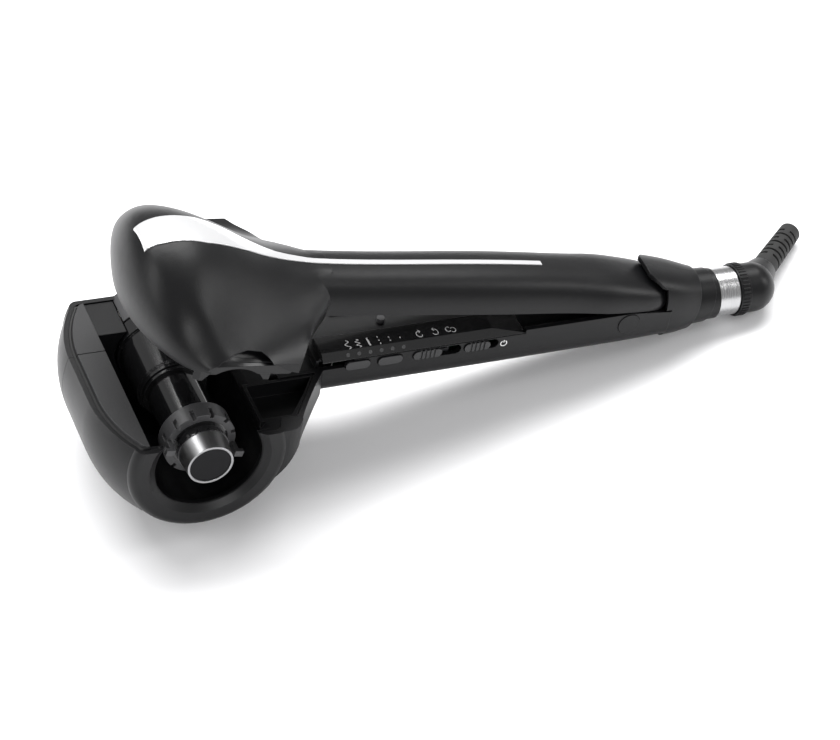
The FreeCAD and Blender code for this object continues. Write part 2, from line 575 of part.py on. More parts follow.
def jaw_head(inset, low):
    """The jaw's dome, lofted across the head from outlines that run front to back."""
    stations = [-COVER_HALF, -41, -38, -33, -27, -20, -14, -7, 0, 7, 14, 20, 27, 33, 38, 41, COVER_HALF]
    sections = []
    for y in stations:
        x0 = cover_front(y) + inset
        x1 = along_line(BACK_LINE, abs(y)) - inset
        scale = (COVER_HALF - inset) / COVER_HALF
        top = cover_height(x0 + 8, y) - inset
        rise = top - EDGE_Z
        points = [(x0, EDGE_Z), (x0 - 2.6 * min(1, rise / 20), EDGE_Z + 0.32 * rise),
                  (x0 - 2.4 * min(1, rise / 20), EDGE_Z + 0.64 * rise), (x0 + 1.4, EDGE_Z + 0.9 * rise),
                  (x0 + 8, top)]
        run = x1 - (x0 + 8)
        for k in range(1, 9):
            x = x0 + 8 + run * math.sin(math.pi / 2 * k / 8)
            points.append((x, turned_down(cover_height(x, y), x1 + inset - x, y) - inset))
        curve = Part.BSplineCurve()
        curve.interpolate([Vector(x, y * scale, z) for x, z in points])
        end_z = points[-1][1]
        edges = [
            Part.makeLine(Vector(x0, y * scale, low), Vector(x0, y * scale, EDGE_Z)),
            curve.toShape(),
            Part.makeLine(Vector(x1, y * scale, end_z), Vector(x1, y * scale, low)),
            Part.makeLine(Vector(x1, y * scale, low), Vector(x0, y * scale, low)),
        ]
        sections.append(Part.Wire(edges))
    return Part.makeLoft(sections, True, False)


# stations of the upper handle: x, half width, top
JAW_STATIONS = [(-150, 14.5, 20.5), (-128, 14.5, 19.6), (-90, 14.5, 19.5), (-50, 14.5, 19.3),
                (-20, 14.5, 18.2), (0, 14.2, 16.4), (10, 13.2, 14.8), (15.5, 11.2, 13.2), (18.2, 8.0, 11.4)]
JAW_LOW = 5.5           # lower edge of the closed upper handle
JAW_SHOULDER = 6.5      # its sides are upright up to here


def jaw_handle(inset, low):
    """The upper handle, lofted along its stations; the hollow stops short of the rounded tail."""
    sections = []
    for x, half, top in JAW_STATIONS:
        if inset > 0 and x > 16:
            continue
        w = half - inset
        h = top - inset - JAW_SHOULDER
        points = []
        for k in range(13):
            t = math.pi * k / 12
            reach = math.copysign(abs(math.cos(t)) ** 0.78, math.cos(t))
            points.append(Vector(x, -w * reach, JAW_SHOULDER + h * abs(math.sin(t)) ** 0.78))
        arch = Part.BSplineCurve()
        arch.interpolate(points)
        edges = [
            Part.makeLine(Vector(x, -w, low), Vector(x, -w, JAW_SHOULDER)),
            arch.toShape(),
            Part.makeLine(Vector(x, w, JAW_SHOULDER), Vector(x, w, low)),
            Part.makeLine(Vector(x, w, low), Vector(x, -w, low)),
        ]
        sections.append(Part.Wire(edges))
    return Part.makeLoft(sections, True, False)


jaw_outer = fuse(jaw_head(0, 0), jaw_handle(0, JAW_LOW))
JAW_WALL = 1.8
jaw_hollow = fuse(jaw_head(JAW_WALL, -8), jaw_handle(JAW_WALL, -8))
# the lower edge rises over the mouth of the chamber and comes down again at the skirts' back corners
edge_wave = [(-230, -6), (-230, EDGE_Z), (-197, EDGE_Z), (-193, 4.4), (-189, 6.8), (-184, 8.3), (-178, 8.7),
             (-172, 7.9), (-167, 5.7), (-162, 3.2), (-156, 1.9), (-150, 1.9), (-146, 3.6), (-140, 5.0),
             (-134.5, JAW_LOW), (-134.5, -6)]
below_edge = prism(edge_wave, "xz", -60, 60)
upper = {}
upper["upper_cover"] = jaw_outer.cut(jaw_hollow).cut(below_edge)

# inner tray of the upper jaw: a skirt inside the cover, the arched roof of the curl chamber,
# a lip that closes the mouth from above and a tongue that drops into the lower deck's tray
ROOF_R = CHAMBER_R + 0.8
TRAY_Z0, TRAY_Z1 = 2.0, 3.6
SKIRT_LOW = 0.5
inner_fill = jaw_head(2.0, -4)
front_part = fuse(box(-240, -146, -50, 50, TRAY_Z0, 9.5), box(-206, -146, -50, 50, SKIRT_LOW, TRAY_Z0))
tray_skirt = inner_fill.cut(jaw_head(3.6, -5)).common(front_part)
tray_plate = inner_fill.common(box(-240, -146, -50, 50, TRAY_Z0, TRAY_Z1))
roof_zone = box(-240, -130, -50, 50, TRAY_Z0, 40)
roof = barrel_tube(ROOF_R + 1.6, ROOF_R, -39.4, 26.4).common(roof_zone)
roof_ends = fuse(barrel_rod(ROOF_R + 1.6, -39.4, -37.9), barrel_rod(ROOF_R + 1.6, 24.9, 26.4))
roof_ends = roof_ends.common(roof_zone)
mouth_lip = box(-203.5, -166.6, -39.4, -37.9, -3.6, TRAY_Z0)
tray_body = fuse(tray_plate.cut(barrel_rod(ROOF_R, -38, 25)), tray_skirt, roof, roof_ends, mouth_lip)
tray_body = tray_body.cut(rod((-181.0, -45, -11.6), (0, 1, 0), 14.6, 10)).cut(barrel_rod(16.0, 20, 50))
tongue = box(-161.8, -155.8, -34.3, -16.7, -5.6, TRAY_Z0 + 1)
spine = box(-149.0, 13.0, -12.4, 12.4, 7.6, 9.0)
spine_web = box(-150.4, -148.8, -12.4, 12.4, TRAY_Z0, 9.0)
ears = []
for ear_y in (-9.0, 5.5):
    knuckle = rod((0, ear_y, 0), (0, 1, 0), 4.6, 3.5)
    ears.append(knuckle.fuse(box(-4.6, 4.6, ear_y, ear_y + 3.5, 0, 8.0)))
peg = rod((PLUNGER_X, PLUNGER_Y, 5.05), (0, 0, 1), 1.8, 3.0)
tray_body = fuse(tray_body, tongue, spine, spine_web, peg, *ears)
tray_body = tray_body.cut(rod((0, -20, 0), (0, 1, 0), PIN_R + FIT, 40))
upper["upper_tray"] = tray_body.common(jaw_hollow)
upper["bumper_studs"] = group(*[rod((-108.5, y, 6.4), (0, 0, 1), 2.2, 1.2) for y in (-9.0, 9.0)])
TRAY_SCREWS = [(-138, 6.0), (-84, 6.0), (-30, 0.0)]
upper["tray_screws"] = group(*[
    fuse(rod((x, y, 6.2), (0, 0, 1), 2.4, 1.4), rod((x, y, 7.5), (0, 0, 1), 1.3, 5.0))
    for x, y in TRAY_SCREWS])
for x, y in TRAY_SCREWS:
    upper["upper_tray"] = upper["upper_tray"].cut(rod((x, y, 7), (0, 0, 1), 1.3, 5.6))

# bright trim along the crown: broad over the head, a narrow strip down the handle
TRIM_LINE = [(-213.4, 6.4), (-206, 7.2), (-190, 7.2), (-178, 5.2), (-170, 3.6), (-157, 2.0),
             (-143, 1.3), (-41, 1.1)]
TRIM_THICK = 0.45
trim_plan = [(x, -w) for x, w in TRIM_LINE] + [(x, w) for x, w in reversed(TRIM_LINE)]
trim_block = prism(trim_plan, "xy", 10, 60)
raised = fuse(jaw_head(-TRIM_THICK, 0), jaw_handle(-TRIM_THICK, JAW_LOW))
trim = raised.common(trim_block).cut(jaw_outer)
upper["crown_trim"] = group(*[s for s in trim.Solids if s.Volume > 5])

for name, shape in upper.items():
    opened = shape.copy()
    opened.rotate(Vector(0, 0, 0), Y_AXIS, OPEN_ANGLE)
    parts[name] = opened

# ---- collar behind the hinge ---------------------------------------------------------------
SHELL_END = 19.2
collar_stations = [(4.0, 14.2, -15.8, 19.0, 0.72), (12.0, 13.9, -15.8, 17.0, 0.72),
                   (SHELL_END, 13.6, -15.8, 14.6, 0.72), (24.0, 13.3, -15.8, 13.0, 0.76),
                   (31.0, 12.4, -15.7, 10.6, 0.88), (38.0, 11.5, -15.1, 8.4, 1.0)]
HOOD_LOW = 11.8         # in front of the shell's end only a hood over the jaw's tail is left
COLLAR_FRONT = 16.8
HOOD_FRONT = [(17.0, -15.0), (16.6, -11.5), (12.2, -8.0), (8.4, -4.0), (7.0, 0.0),
              (8.4, 4.0), (12.2, 8.0), (16.6, 11.5), (17.0, 15.0)]


def ring_section(x, half, low, high, fullness):
    centre, rise = (low + high) / 2, (high - low) / 2
    points = []
    for k in range(24):
        t = 2 * math.pi * k / 24
        c, s = math.cos(t), math.sin(t)
        points.append(Vector(x, half * math.copysign(abs(c) ** fullness, c),
                             centre + rise * math.copysign(abs(s) ** fullness, s)))
    curve = Part.BSplineCurve()
    curve.interpolate(Points=points, PeriodicFlag=True)
    return Part.Wire([curve.toShape()])


def slanted_end(x, slope):
    """Everything beyond a plane across the handle that leans back by slope."""
    height = 30
    return prism([(x - slope * height, SWIVEL_Z - height), (x + slope * height, SWIVEL_Z + height),
                  (x + 60, SWIVEL_Z + height), (x + 60, SWIVEL_Z - height)], "xz", -30, 30)


sleeve_a = Part.makeLoft([ring_section(*s) for s in collar_stations], True, False).cut(slanted_end(32.5, 0.2))
sleeve_b = Part.makeCone(11.5, 10.9, 14.0, Vector(28.0, 0, SWIVEL_Z), Vector(1, 0, 0))
sleeve_b = sleeve_b.cut(slanted_end(40.2, 0.24))
sleeve_c = axle_x(10.35, 34.0, 44.3)
collar = fuse(sleeve_a, sleeve_b, sleeve_c)
collar = collar.cut(box(0, COLLAR_FRONT, -20, 20, -30, HOOD_LOW))
collar = collar.cut(box(0, SHELL_END, -20, 20, -30, 3.0))
collar = collar.cut(prism(HOOD_FRONT + [(0, 15.0), (0, -15.0)], "xy", HOOD_LOW, 40))
tail = jaw_handle(-0.4, JAW_LOW - 0.4).common(box(-6, 30, -20, 20, 0, 30))
for step in range(6):
    swept = tail.copy()
    swept.translate(Vector(0.5, 0, 0))
    swept.rotate(Vector(0, 0, 0), Y_AXIS, OPEN_ANGLE * step / 5)
    collar = collar.cut(swept)
collar = collar.cut(axle_x(8.9, 18.0, 41.0)).cut(axle_x(7.6, 40.9, 45.0))
collar = collar.cut(box(18, 24, -9, 9, -13, 1.9))
parts["rear_collar_near"] = collar.common(box(10, 60, -30, -0.06, -30, 30))
parts["rear_collar_far"] = collar.common(box(10, 60, 0.06, 30, -30, 30))

# ---- cord swivel ---------------------------------------------------------------------------
CORE_R = 7.25
parts["steel_ring"] = axle_x(RING_R, 44.5, 53.5).cut(axle_x(CORE_R + FIT, 44, 54))
core = fuse(axle_x(CORE_R, 39.2, 58.4), axle_x(8.4, 39.2, 40.6))
parts["swivel_core"] = core.cut(axle_x(4.6, 39, 59))
parts["swivel_ring"] = axle_x(10.6, 53.9, 58.4).cut(axle_x(CORE_R, 53, 59))
BEND_X = 63.0
CORD_DIRECTION = Vector(0.757, 0.652, -0.01)
CORD_DIRECTION.normalize()
bend = Vector(BEND_X, 0, SWIVEL_Z)
SOCKET_LENGTH, RELIEF_LENGTH = 13.5, 33.0
RELIEF_R0, RELIEF_R1, CORD_R = 5.2, 4.5, 3.3


def along_cord(distance):
    return bend + CORD_DIRECTION * distance


elbow = fuse(axle_x(10.2, 58.4, BEND_X), Part.makeSphere(10.2, bend),
             Part.makeCone(9.6, 6.1, SOCKET_LENGTH, bend, CORD_DIRECTION))
elbow = elbow.cut(box(40, 58.4, -20, 20, -30, 20)).cut(axle_x(4.6, 58, 62))
parts["cord_elbow"] = elbow.cut(Part.makeCylinder(3.4, 9.0, along_cord(5.0), CORD_DIRECTION))
relief = Part.makeCone(RELIEF_R0, RELIEF_R1, RELIEF_LENGTH - 1.2, along_cord(SOCKET_LENGTH), CORD_DIRECTION)
relief_end = SOCKET_LENGTH + RELIEF_LENGTH
nose = Part.makeCone(RELIEF_R1, RELIEF_R1 - 1.0, 1.2, along_cord(relief_end - 1.2), CORD_DIRECTION)
relief = relief.fuse(nose).cut(
    Part.makeCylinder(CORD_R, 22, along_cord(relief_end - 20), CORD_DIRECTION))
RELIEF_ROWS = 7
SLOT_WIDTH = 1.2
side_axis = CORD_DIRECTION.cross(Vector(0, 0, 1)).normalize()
for row in range(RELIEF_ROWS):
    start = along_cord(SOCKET_LENGTH + 6.0 + 3.3 * row)
    band = Part.makeCylinder(7, SLOT_WIDTH, start, CORD_DIRECTION).cut(
        Part.makeCylinder(3.95, SLOT_WIDTH, start, CORD_DIRECTION))
    bridge_axis = side_axis if row % 2 else side_axis.cross(CORD_DIRECTION)
    bridge = Part.makeBox(16, 2.4, 4, Vector(-8, -1.2, -1.4))
    bridge.Placement = FreeCAD.Placement(
        start, FreeCAD.Rotation(bridge_axis, CORD_DIRECTION.cross(bridge_axis), CORD_DIRECTION, "XZY"))
    relief = relief.cut(band.cut(bridge))
parts["strain_relief"] = relief


# ---- lay the tool on the table and write the pieces ----------------------------------------
def seat(shape, shift):
    seated = shape.copy()
    seated.rotate(Vector(0, 0, 0), Y_AXIS, REST_TILT)
    seated.translate(shift)
    return seated


everything = seat(Part.makeCompound(list(parts.values())), Vector(0, 0, 0))
bounds = everything.optimalBoundingBox(False, False)
SHIFT = Vector(-(bounds.XMin + bounds.XMax) / 2, -(bounds.YMin + bounds.YMax) / 2, -bounds.ZMin)
os.makedirs("parts", exist_ok=True)
for name, shape in parts.items():
    seat(shape, SHIFT).exportStep("parts/" + name + ".step")
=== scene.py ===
import json
import math

import bpy
from mathutils import Matrix, Vector


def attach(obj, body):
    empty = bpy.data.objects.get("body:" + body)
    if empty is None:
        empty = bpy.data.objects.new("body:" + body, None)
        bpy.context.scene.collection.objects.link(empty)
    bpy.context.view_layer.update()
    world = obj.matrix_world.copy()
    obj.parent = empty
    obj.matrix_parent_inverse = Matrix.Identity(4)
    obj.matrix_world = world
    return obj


# Automatic hair curler, lying on its head and cord elbow with its jaws open.
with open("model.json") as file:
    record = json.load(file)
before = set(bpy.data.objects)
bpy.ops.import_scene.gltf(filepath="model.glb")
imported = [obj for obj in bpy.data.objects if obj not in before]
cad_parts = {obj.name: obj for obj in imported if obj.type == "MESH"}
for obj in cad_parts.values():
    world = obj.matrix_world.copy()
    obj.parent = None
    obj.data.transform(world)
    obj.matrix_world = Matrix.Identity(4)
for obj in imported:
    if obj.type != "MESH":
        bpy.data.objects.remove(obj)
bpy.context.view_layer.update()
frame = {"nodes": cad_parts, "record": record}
record = frame["record"]
joints = {joint["name"]: joint for joint in record["behaviour"]["joints"]}

# ---- Camera, floor and studio light --------------------------------------------------------
# A long lens looks down on the near side of the tool. The floor is a plain pale sheet and the
# light comes from soft panels above, beside and in front, inside a pale grey surround.
CAMERA_DISTANCE = 1.2
CAMERA_AZIMUTH, CAMERA_ELEVATION, CAMERA_LEAN = -21.84, 44.38, -0.75
azimuth, elevation = math.radians(CAMERA_AZIMUTH), math.radians(CAMERA_ELEVATION)
back = Vector((math.sin(azimuth) * math.cos(elevation), -math.cos(azimuth) * math.cos(elevation),
               math.sin(elevation)))
right = Vector((math.cos(azimuth), math.sin(azimuth), 0.0))
above = back.cross(right)
turn = Matrix((right, above, back)).transposed()
turn = Matrix.Rotation(math.radians(CAMERA_LEAN), 3, "Y") @ turn
hinge_point = Vector(joints["jaw_hinge"]["pos_m"])
AIM_RIGHT, AIM_UP = -0.07745, -0.02771
target = hinge_point + turn.col[0] * AIM_RIGHT + turn.col[1] * AIM_UP
camera_data = bpy.data.cameras.new("camera")
camera_data.lens = 128.57
camera_data.sensor_width = 36.0
camera = bpy.data.objects.new("camera", camera_data)
bpy.context.scene.collection.objects.link(camera)
camera.matrix_world = Matrix.Translation(target + turn.col[2] * CAMERA_DISTANCE) @ turn.to_4x4()
bpy.context.scene.camera = camera
bpy.context.scene.view_settings.view_transform = "Standard"


def new_object(name, mesh):
    made = bpy.data.objects.new(name, mesh)
    bpy.context.scene.collection.objects.link(made)
    return made


FLOOR_HALF = 3.0
floor_mesh = bpy.data.meshes.new("floor")
floor_mesh.from_pydata([(-FLOOR_HALF, -FLOOR_HALF, 0), (FLOOR_HALF, -FLOOR_HALF, 0),
                        (FLOOR_HALF, FLOOR_HALF, 0), (-FLOOR_HALF, FLOOR_HALF, 0)], [], [(0, 1, 2, 3)])
floor = new_object("floor", floor_mesh)
floor_look = bpy.data.materials.new("white studio sheet")
floor_look.use_nodes = True
sheet_shader = floor_look.node_tree.nodes["Principled BSDF"]
sheet_shader.inputs["Base Color"].default_value = (0.93, 0.93, 0.94, 1)
sheet_shader.inputs["Roughness"].default_value = 0.5
floor_mesh.materials.append(floor_look)


def panel(name, place, aim, size, power):
    """A soft rectangular light that points at a spot on the tool."""
    data = bpy.data.lights.new(name, "AREA")
    data.shape = "RECTANGLE"
    data.size, data.size_y = size
    data.energy = power
    lamp = bpy.data.objects.new(name, data)
    bpy.context.scene.collection.objects.link(lamp)
    lamp.location = place
    lamp.rotation_euler = (Vector(aim) - Vector(place)).to_track_quat("-Z", "Y").to_euler()


panel("top panel", (0.1, 0.6, 1.2), (0, 0, 0), (2.0, 0.6), 36)
panel("left panel", (-1.2, 0.1, 0.7), (-0.1, 0, 0.05), (0.3, 1.0), 5)
panel("front panel", (-0.2, -1.5, 0.7), (-0.05, 0, 0.02), (0.7, 0.25), 8)
panel("right panel", (1.4, -0.4, 0.7), (0.1, 0, 0.0), (0.35, 0.8), 6)
world = bpy.data.worlds.new("studio")
bpy.context.scene.world = world
world.use_nodes = True
world.node_tree.nodes["Background"].inputs["Color"].default_value = (1.0, 1.0, 1.0, 1)
world.node_tree.nodes["Background"].inputs["Strength"].default_value = 0.42


# ---- Lower casing: handle, drum-shaped head and its far shell ------------------------------
# Moulded black nylon with a fine spark-eroded grain and a dull satin sheen, a little
# polished where hands and the table rub it. Two mouldings meet in a joint round the drum.
def group_socket(tree, name, way, kind, value=None):
    socket = tree.interface.new_socket(name, in_out=way, socket_type=kind)
    if value is not None:
        socket.default_value = value


def link(tree, source, sink):
    tree.links.new(source, sink)


def moulded_surface():
    """Grain, sheen variation and rounded edges that every moulded or machined piece shares."""
    tree = bpy.data.node_groups.new("moulded surface", "ShaderNodeTree")
    group_socket(tree, "Grain Size", "INPUT", "NodeSocketFloat", 2600.0)
    group_socket(tree, "Grain Depth", "INPUT", "NodeSocketFloat", 0.2)
    group_socket(tree, "Edge Radius", "INPUT", "NodeSocketFloat", 0.0003)
    group_socket(tree, "Roughness", "INPUT", "NodeSocketFloat", 0.4)
    group_socket(tree, "Roughness Spread", "INPUT", "NodeSocketFloat", 0.1)
    group_socket(tree, "Color", "INPUT", "NodeSocketColor", (0.03, 0.03, 0.03, 1))
    group_socket(tree, "Worn Color", "INPUT", "NodeSocketColor", (0.08, 0.08, 0.08, 1))
    group_socket(tree, "Color", "OUTPUT", "NodeSocketColor")
    group_socket(tree, "Roughness", "OUTPUT", "NodeSocketFloat")
    group_socket(tree, "Normal", "OUTPUT", "NodeSocketVector")
    add = tree.nodes.new
    given = add("NodeGroupInput")
    out = add("NodeGroupOutput")
    place = add("ShaderNodeTexCoord")

    rounded = add("ShaderNodeBevel")
    rounded.samples = 4
    link(tree, given.outputs["Edge Radius"], rounded.inputs["Radius"])

    grain = add("ShaderNodeTexNoise")
    grain.inputs["Detail"].default_value = 2.0
    link(tree, place.outputs["Object"], grain.inputs["Vector"])
    link(tree, given.outputs["Grain Size"], grain.inputs["Scale"])
    bump = add("ShaderNodeBump")
    bump.inputs["Distance"].default_value = 0.0002
    link(tree, grain.outputs["Fac"], bump.inputs["Height"])
    link(tree, given.outputs["Grain Depth"], bump.inputs["Strength"])
    link(tree, rounded.outputs["Normal"], bump.inputs["Normal"])
    link(tree, bump.outputs["Normal"], out.inputs["Normal"])

    smears = add("ShaderNodeTexNoise")
    smears.inputs["Scale"].default_value = 38.0
    smears.inputs["Detail"].default_value = 5.0
    smears.inputs["Roughness"].default_value = 0.65
    link(tree, place.outputs["Object"], smears.inputs["Vector"])
    centred = add("ShaderNodeMath")
    centred.operation = "SUBTRACT"
    centred.inputs[1].default_value = 0.5
    link(tree, smears.outputs["Fac"], centred.inputs[0])
    spread = add("ShaderNodeMath")
    spread.operation = "MULTIPLY_ADD"
    link(tree, centred.outputs[0], spread.inputs[0])
    link(tree, given.outputs["Roughness Spread"], spread.inputs[1])
    link(tree, given.outputs["Roughness"], spread.inputs[2])
    link(tree, spread.outputs[0], out.inputs["Roughness"])

    facing = add("ShaderNodeNewGeometry")
    same = add("ShaderNodeVectorMath")
    same.operation = "DOT_PRODUCT"
    link(tree, rounded.outputs["Normal"], same.inputs[0])
    link(tree, facing.outputs["Normal"], same.inputs[1])
    edge = add("ShaderNodeMapRange")
    edge.inputs["From Min"].default_value = 0.99
    edge.inputs["From Max"].default_value = 0.75
    link(tree, same.outputs["Value"], edge.inputs["Value"])
    rubbed = add("ShaderNodeMath")
    rubbed.operation = "MULTIPLY"
    link(tree, edge.outputs["Result"], rubbed.inputs[0])
    link(tree, smears.outputs["Fac"], rubbed.inputs[1])
    mix = add("ShaderNodeMix")
    mix.data_type = "RGBA"
    link(tree, rubbed.outputs[0], mix.inputs["Factor"])
    link(tree, given.outputs["Color"], mix.inputs["A"])
    link(tree, given.outputs["Worn Color"], mix.inputs["B"])
    link(tree, mix.outputs["Result"], out.inputs["Color"])
    return tree


surface_group = moulded_surface()


def finish_look(name, color, worn, roughness, spread=0.12, grain=2600.0, depth=0.2, edge=0.0003,
                metallic=0.0, coat=0.0, specular=0.5):
    """A material whose colour, sheen and relief come from the shared moulded surface."""
    look = bpy.data.materials.new(name)
    look.use_nodes = True
    tree = look.node_tree
    shader = tree.nodes["Principled BSDF"]
    shared = tree.nodes.new("ShaderNodeGroup")
    shared.node_tree = surface_group
    values = {"Grain Size": grain, "Grain Depth": depth, "Edge Radius": edge,
              "Roughness": roughness, "Roughness Spread": spread}
    for key, value in values.items():
        shared.inputs[key].default_value = value
    shared.inputs["Color"].default_value = (*color, 1)
    shared.inputs["Worn Color"].default_value = (*worn, 1)
    link(tree, shared.outputs["Color"], shader.inputs["Base Color"])
    link(tree, shared.outputs["Roughness"], shader.inputs["Roughness"])
    link(tree, shared.outputs["Normal"], shader.inputs["Normal"])
    shader.inputs["Metallic"].default_value = metallic
    shader.inputs["Coat Weight"].default_value = coat
    shader.inputs["Coat Roughness"].default_value = 0.06
    shader.inputs["Specular IOR Level"].default_value = specular
    return look


def dress(look, *nodes):
    """Gives the named pieces their finish."""
    for node in nodes:
        for material_slot in frame["nodes"][node].material_slots:
            material_slot.material = look


casing_look = finish_look("satin black casing", (0.004, 0.004, 0.0045), (0.03, 0.03, 0.032), 0.37,
                          specular=0.24)
dress(casing_look, "lower_shell", "far_head_shell")

# ---- Chamber deck, mouth ring and arm deck -------------------------------------------------
# The inner mouldings are a shade smoother than the casing and are screwed to it from below.
inner_look = finish_look("smooth black inner moulding", (0.004, 0.004, 0.0045), (0.03, 0.03, 0.032), 0.3,
                         depth=0.12, specular=0.3)
dress(inner_look, "chamber_deck", "mouth_ring", "arm_deck")

# ---- Front pads and rim seal ---------------------------------------------------------------
# Two dull heat-proof pads lie on the front rim with a soft black seal in the groove outside.
pad_look = finish_look("dull pad", (0.02, 0.02, 0.021), (0.06, 0.06, 0.062), 0.5, grain=1800.0, depth=0.3,
                       specular=0.35)
dress(pad_look, "front_pad_near", "front_pad_far")
seal_look = finish_look("soft black rubber", (0.008, 0.008, 0.008), (0.02, 0.02, 0.02), 0.7, depth=0.4)
dress(seal_look, "rim_seal", "bumper_studs")

# ---- Gear cover and rotor ------------------------------------------------------------------
# The rotor and the barrel are polished black so that hair slips on them. The round boss over the
# rotor's far end, the winding hook, the guard ring and the plunger are grey heat-proof plastic.
gloss_look = finish_look("polished black", (0.006, 0.006, 0.0065), (0.02, 0.02, 0.021), 0.12, spread=0.08,
                         depth=0.03, coat=0.6)
dress(gloss_look, "rotor_sleeve", "barrel_collar", "barrel_tube", "barrel_neck")
grey_look = finish_look("grey heat-proof plastic", (0.045, 0.045, 0.047), (0.12, 0.12, 0.122), 0.4,
                        depth=0.15)
dress(grey_look, "gear_cover", "winding_hook", "hair_guard_ring", "switch_plunger")

# ---- Barrel end cap with its disc ----------------------------------------------------------
# A satin metal cap closes the barrel, and its rim stands round a dark disc.
cap_look = finish_look("satin dark end cap", (0.34, 0.34, 0.345), (0.6, 0.6, 0.61), 0.38, metallic=1.0,
                       depth=0.05, edge=0.0004)
dress(cap_look, "barrel_end_cap")
disc_look = finish_look("dark end disc", (0.006, 0.006, 0.007), (0.03, 0.03, 0.03), 0.45, depth=0.1,
                        specular=0.12)
dress(disc_look, "barrel_end_disc")

# ---- Metal and hidden pieces ---------------------------------------------------------------
# Steel pin, spindle, spring, plate and motor can; blackened casing and tray screws; brass bushes
# and fuse; an aluminium spreader; nylon gears and heaters; dark green boards with dark components.
steel_look = finish_look("bright steel", (0.55, 0.55, 0.56), (0.7, 0.7, 0.7), 0.28, metallic=1.0, depth=0.06)
dress(steel_look, "spindle_tube", "hinge_pin", "opening_spring", "barrel_end_screw", "motor_screws",
      "gear_plate", "drive_motor")
dark_steel_look = finish_look("blackened steel", (0.05, 0.05, 0.052), (0.3, 0.3, 0.3), 0.4, metallic=1.0,
                              depth=0.1)
dress(dark_steel_look, "casing_screws", "tray_screws")
brass_look = finish_look("turned brass", (0.62, 0.42, 0.16), (0.75, 0.6, 0.3), 0.3, metallic=1.0, depth=0.08)
dress(brass_look, "rotor_bushes", "thermal_fuse")
aluminium_look = finish_look("machined aluminium", (0.7, 0.7, 0.72), (0.8, 0.8, 0.8), 0.33, metallic=1.0,
                             depth=0.1)
dress(aluminium_look, "heat_spreader")
nylon_look = finish_look("natural nylon", (0.72, 0.7, 0.64), (0.8, 0.79, 0.75), 0.45, depth=0.1)
dress(nylon_look, "rotor_gear", "idler_gear", "motor_pinion", "heater_elements")
board_look = finish_look("dark green board", (0.003, 0.022, 0.01), (0.2, 0.16, 0.06), 0.4, depth=0.1)
dress(board_look, "control_board", "power_board")
component_look = finish_look("dark components", (0.02, 0.02, 0.022), (0.06, 0.06, 0.06), 0.5, depth=0.15)
dress(component_look, "key_switches", "direction_switch", "power_switch", "board_parts", "closing_switch")

# ---- Upper jaw -----------------------------------------------------------------------------
# The saddle-shaped cover has the casing's finish, the tray inside it the inner mouldings'.
dress(casing_look, "upper_cover")
dress(inner_look, "upper_tray")

# ---- Crown trim ----------------------------------------------------------------------------
# A plated strip, broad over the head and narrow down the handle, stuck in a shallow recess. Its white is
# partly real plating and partly painted reflection: the metal is held at 0.6 over a near-white colour, so
# diffuse white stands in for the lamps it would mirror.
plating_with_painted_reflection_look = finish_look("bright plating with painted reflection", (0.94, 0.94, 0.95), (0.97, 0.97, 0.97), 0.16, spread=0.06,
                          metallic=0.6, depth=0.01, coat=0.4)
dress(plating_with_painted_reflection_look, "crown_trim")

# ---- Controls ------------------------------------------------------------------------------
# A glossy fascia with lamps on its bevel, two keys and two ribbed slides below it.
fascia_look = finish_look("glossy fascia", (0.008, 0.008, 0.0085), (0.03, 0.03, 0.03), 0.22, depth=0.03,
                          coat=0.3)
dress(fascia_look, "control_fascia")
key_look = finish_look("black key", (0.01, 0.01, 0.011), (0.04, 0.04, 0.042), 0.3, depth=0.08)
dress(key_look, "time_key", "heat_key", "direction_slider", "power_slider")
lens_look = finish_look("smoked lamp lens", (0.06, 0.06, 0.062), (0.3, 0.3, 0.3), 0.2, depth=0.02, coat=0.5)
dress(lens_look, "led_lenses")

# ---- Printed setting marks -----------------------------------------------------------------
# White pad-printed marks on the fascia's flat top and beside the power slide: waves, a bar and
# dots for the curl settings, turning arrows for the direction. Half-sunk beads follow their lines.
ALONG = Vector(joints["cord_swivel"]["axis"])
ACROSS = Vector((0.0, 1.0, 0.0))
UP = ALONG.cross(ACROSS)
FASCIA_TOP, FASCIA_MIDDLE = 6.1, -8.8
WALL_FACE = -14.5
MARK_STRETCH = 1.35
PRINT_SINK = 0.7        # the share of half a line's width that lies under the surface
WAVE_STEPS = 18
PEN_WIDTH, FINE_WIDTH, BAR_WIDTH, DOT_WIDTH = 0.5, 0.46, 1.1, 0.7
DOT_REACH = 0.25
WAVE_X, MARK_SPACE = -119.4, 4.36
TURN_X, TURN_SPACE = -89.4, 6.6
POWER_X, POWER_Z = -54.8, -0.1


def spot(x, y, z):
    """A place given in millimetres from the hinge: along the handle, across it, above it."""
    return hinge_point + (ALONG * x + ACROSS * y + UP * z) / 1000.0


def arc(radius, start, sweep, x=0.0, y=0.0, count=14):
    """Points along an arc, angles in degrees."""
    angles = [math.radians(start + sweep * step / count) for step in range(count + 1)]
    return [(x + radius * math.cos(angle), y + radius * math.sin(angle)) for angle in angles]


def wave(height, width, turns):
    """A wave that runs down the mark."""
    return [(width * math.sin(math.pi * turns * step / WAVE_STEPS) / 2, height * (0.5 - step / WAVE_STEPS))
            for step in range(WAVE_STEPS + 1)]


def on_fascia(x, width, strokes):
    """One mark printed on the fascia's top: each line with its width."""
    height = FASCIA_TOP - width * 0.5 * PRINT_SINK
    return [(width, [spot(x + u, FASCIA_MIDDLE + MARK_STRETCH * v, height) for u, v in stroke])
            for stroke in strokes]


def on_wall(x, z, width, strokes):
    """One mark printed on the handle's upright wall."""
    depth = WALL_FACE + width * 0.5 * PRINT_SINK
    return [(width, [spot(x + u, depth, z + v) for u, v in stroke]) for stroke in strokes]


